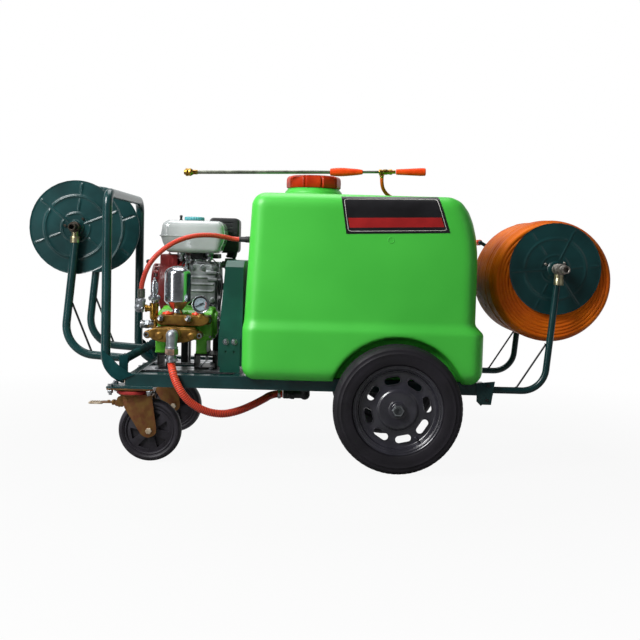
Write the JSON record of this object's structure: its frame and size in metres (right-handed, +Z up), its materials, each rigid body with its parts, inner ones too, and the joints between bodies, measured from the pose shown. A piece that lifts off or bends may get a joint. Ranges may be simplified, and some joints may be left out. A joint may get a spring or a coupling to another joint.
{
  "type": "wheeled orchard sprayer",
  "caption": "Push cart with a moulded liquid tank, petrol engine, belt-driven plunger pump, hose reels at both ends and a spray lance.",
  "frame": {"origin": "on the ground under the centre of the cart's bounding box", "axes": "+X along the cart from the push handle end to the full reel end, +Y across it to the far side (crank side), +Z up"},
  "size_m": [1.888, 0.8, 0.9637],
  "materials": {
    "frame_paint": "satin powder coat",
    "zinc_steel": "bright zinc plate",
    "tank_plastic": "rotomoulded polyethylene, faint orange peel",
    "red_plastic": "moulded",
    "black_plastic": "moulded",
    "engine_aluminium": "die cast",
    "muffler_steel": "dull steel",
    "white_paint": "gloss enamel",
    "teal_plastic": "moulded",
    "pulley_iron": "turned and oiled",
    "lime_paint": "gloss enamel",
    "black_paint": "satin enamel",
    "brass": "cast and machined",
    "chrome": "plated",
    "belt_rubber": "matt",
    "yellow_zinc": "yellow zinc plate",
    "wheel_rubber": "matt",
    "rim_paint": "satin enamel",
    "hose_orange": "smooth",
    "hose_red": "translucent with braid"
  },
  "bodies": {
    "cart": {"side_rails": "frame_paint", "frame_members": "frame_paint", "platform": "frame_paint", "push_handle": "frame_paint", "handle_braces": "frame_paint", "axle": "zinc_steel", "tank": "tank_plastic", "tank_fittings": "black_plastic", "engine_block": "engine_aluminium", "cylinder": "engine_aluminium", "fan_shroud": "red_plastic", "fuel_tank": "white_paint", "air_filter": "black_plastic", "carburettor": "engine_aluminium", "muffler": "muffler_steel", "pump_crankcase": "lime_paint", "machine_stands": "black_paint", "suction_manifold": "brass", "delivery_manifold": "brass", "air_chamber": "chrome", "gauge_case": "zinc_steel", "relief_valve": "brass", "return_elbow": "zinc_steel", "outlet_cock": "chrome", "inlet_elbow": "zinc_steel", "drive_belts": "belt_rubber", "belt_guard": "frame_paint", "caster_plates": "yellow_zinc", "front_reel_stand": "frame_paint", "rear_reel_stand": "frame_paint", "lance_tube": "muffler_steel", "lance_fittings": "brass", "lance_front_grip": "red_plastic", "suction_hose": "hose_red", "return_hose": "hose_red", "lance_hose": "hose_orange"},
    "filler_cap": {"tank_cap": "red_plastic"},
    "starter_grip": {"recoil_handle": "black_plastic"},
    "petrol_cap": {"fuel_cap": "teal_plastic"},
    "speed_lever": {"throttle_lever": "zinc_steel"},
    "crankshaft": {"engine_pulley": "pulley_iron"},
    "needle": {"gauge_needle": "black_plastic"},
    "pressure_setting": {"pressure_knob": "chrome"},
    "release_lever": {"relief_lever": "zinc_steel"},
    "pump_shaft": {"pump_pulley": "pulley_iron"},
    "near_caster": {"near_fork": "yellow_zinc"},
    "near_caster_roller": {"near_caster_wheel": "wheel_rubber"},
    "near_brake_pedal": {"near_brake": "yellow_zinc"},
    "far_caster": {"far_fork": "yellow_zinc"},
    "far_caster_roller": {"far_caster_wheel": "wheel_rubber"},
    "far_brake_pedal": {"far_brake": "yellow_zinc"},
    "near_wheel": {"near_tyre": "wheel_rubber", "near_rim": "rim_paint"},
    "far_wheel": {"far_tyre": "wheel_rubber", "far_rim": "rim_paint"},
    "empty_reel": {"front_reel": "frame_paint"},
    "full_reel": {"rear_reel": "frame_paint", "hose_winding": "hose_orange"},
    "crank_handle": {"crank_grip": "red_plastic"},
    "lance_twist": {"lance_rear_grip": "red_plastic"}
  },
  "joints": [
    {"name": "front_reel_spin", "type": "hinge", "parent": "cart", "child": "empty_reel", "pos_m": [-0.792, 0, 0.736], "axis": [0, 1, 0], "continuous": true},
    {"name": "rear_reel_spin", "type": "hinge", "parent": "cart", "child": "full_reel", "pos_m": [0.752, 0, 0.642], "axis": [0, 1, 0], "continuous": true},
    {"name": "crank_handle_spin", "type": "hinge", "parent": "full_reel", "child": "crank_handle", "pos_m": [0.593, 0.358, 0.727], "axis": [0, 1, 0], "continuous": true},
    {"name": "near_wheel_spin", "type": "hinge", "parent": "cart", "child": "near_wheel", "pos_m": [0.255, -0.355, 0.2], "axis": [0, 1, 0], "continuous": true},
    {"name": "far_wheel_spin", "type": "hinge", "parent": "cart", "child": "far_wheel", "pos_m": [0.255, 0.355, 0.2], "axis": [0, 1, 0], "continuous": true},
    {"name": "near_caster_swivel", "type": "hinge", "parent": "cart", "child": "near_caster", "pos_m": [-0.58, -0.262, 0.21], "axis": [0, 0, 1], "continuous": true},
    {"name": "near_caster_roll", "type": "hinge", "parent": "near_caster", "child": "near_caster_roller", "pos_m": [-0.522, -0.262, 0.1], "axis": [0, 1, 0], "continuous": true},
    {"name": "near_brake_press", "type": "hinge", "parent": "near_caster", "child": "near_brake_pedal", "pos_m": [-0.626, -0.262, 0.184], "axis": [0, 1, 0], "range_deg": [-14, 8]},
    {"name": "far_caster_swivel", "type": "hinge", "parent": "cart", "child": "far_caster", "pos_m": [-0.58, 0.262, 0.21], "axis": [0, 0, 1], "continuous": true},
    {"name": "far_caster_roll", "type": "hinge", "parent": "far_caster", "child": "far_caster_roller", "pos_m": [-0.522, 0.262, 0.1], "axis": [0, 1, 0], "continuous": true},
    {"name": "far_brake_press", "type": "hinge", "parent": "far_caster", "child": "far_brake_pedal", "pos_m": [-0.626, 0.262, 0.184], "axis": [0, 1, 0], "range_deg": [-14, 8]},
    {"name": "filler_cap_turn", "type": "hinge", "parent": "cart", "child": "filler_cap", "pos_m": [-0.025, 0, 0.91], "axis": [0, 0, 1], "range_deg": [0, 360]},
    {"name": "petrol_cap_turn", "type": "hinge", "parent": "cart", "child": "petrol_cap", "pos_m": [-0.441, 0.112, 0.78], "axis": [0, 0, 1], "range_deg": [0, 90]},
    {"name": "starter_pull", "type": "slide", "parent": "cart", "child": "starter_grip", "axis": [0, 0, 1], "range_m": [0, 0.35], "stiffness_N_per_m": 12, "springref_m": -0.1},
    {"name": "speed_lever_swing", "type": "hinge", "parent": "cart", "child": "speed_lever", "pos_m": [-0.458, 0.043, 0.614], "axis": [0, 1, 0], "range_deg": [-30, 30]},
    {"name": "pump_shaft_spin", "type": "hinge", "parent": "cart", "child": "pump_shaft", "pos_m": [-0.284, -0.06, 0.43], "axis": [1, 0, 0], "continuous": true},
    {"name": "crankshaft_spin", "type": "hinge", "parent": "cart", "child": "crankshaft", "pos_m": [-0.284, 0.13, 0.546], "axis": [1, 0, 0], "continuous": true},
    {"name": "gauge_needle_sweep", "type": "hinge", "parent": "cart", "child": "needle", "pos_m": [-0.376, -0.2056, 0.499], "axis": [0, 1, 0], "range_deg": [0, 240], "stiffness_Nm_per_rad": 0.0008},
    {"name": "pressure_setting_turn", "type": "hinge", "parent": "cart", "child": "pressure_setting", "pos_m": [-0.53, -0.175, 0.53], "axis": [0, 0, 1], "range_deg": [0, 720]},
    {"name": "release_lever_swing", "type": "hinge", "parent": "cart", "child": "release_lever", "pos_m": [-0.53, -0.175, 0.515], "axis": [0, 0, 1], "range_deg": [-40, 40]},
    {"name": "lance_grip_twist", "type": "hinge", "parent": "cart", "child": "lance_twist", "pos_m": [0.29189, -0.082, 0.94758], "axis": [0.9997, 0, 0.0262], "range_deg": [0, 90]}
  ],
  "couplings": [
    {"joint": "crankshaft_spin", "follows": "pump_shaft_spin", "ratio": 4}
  ]
}
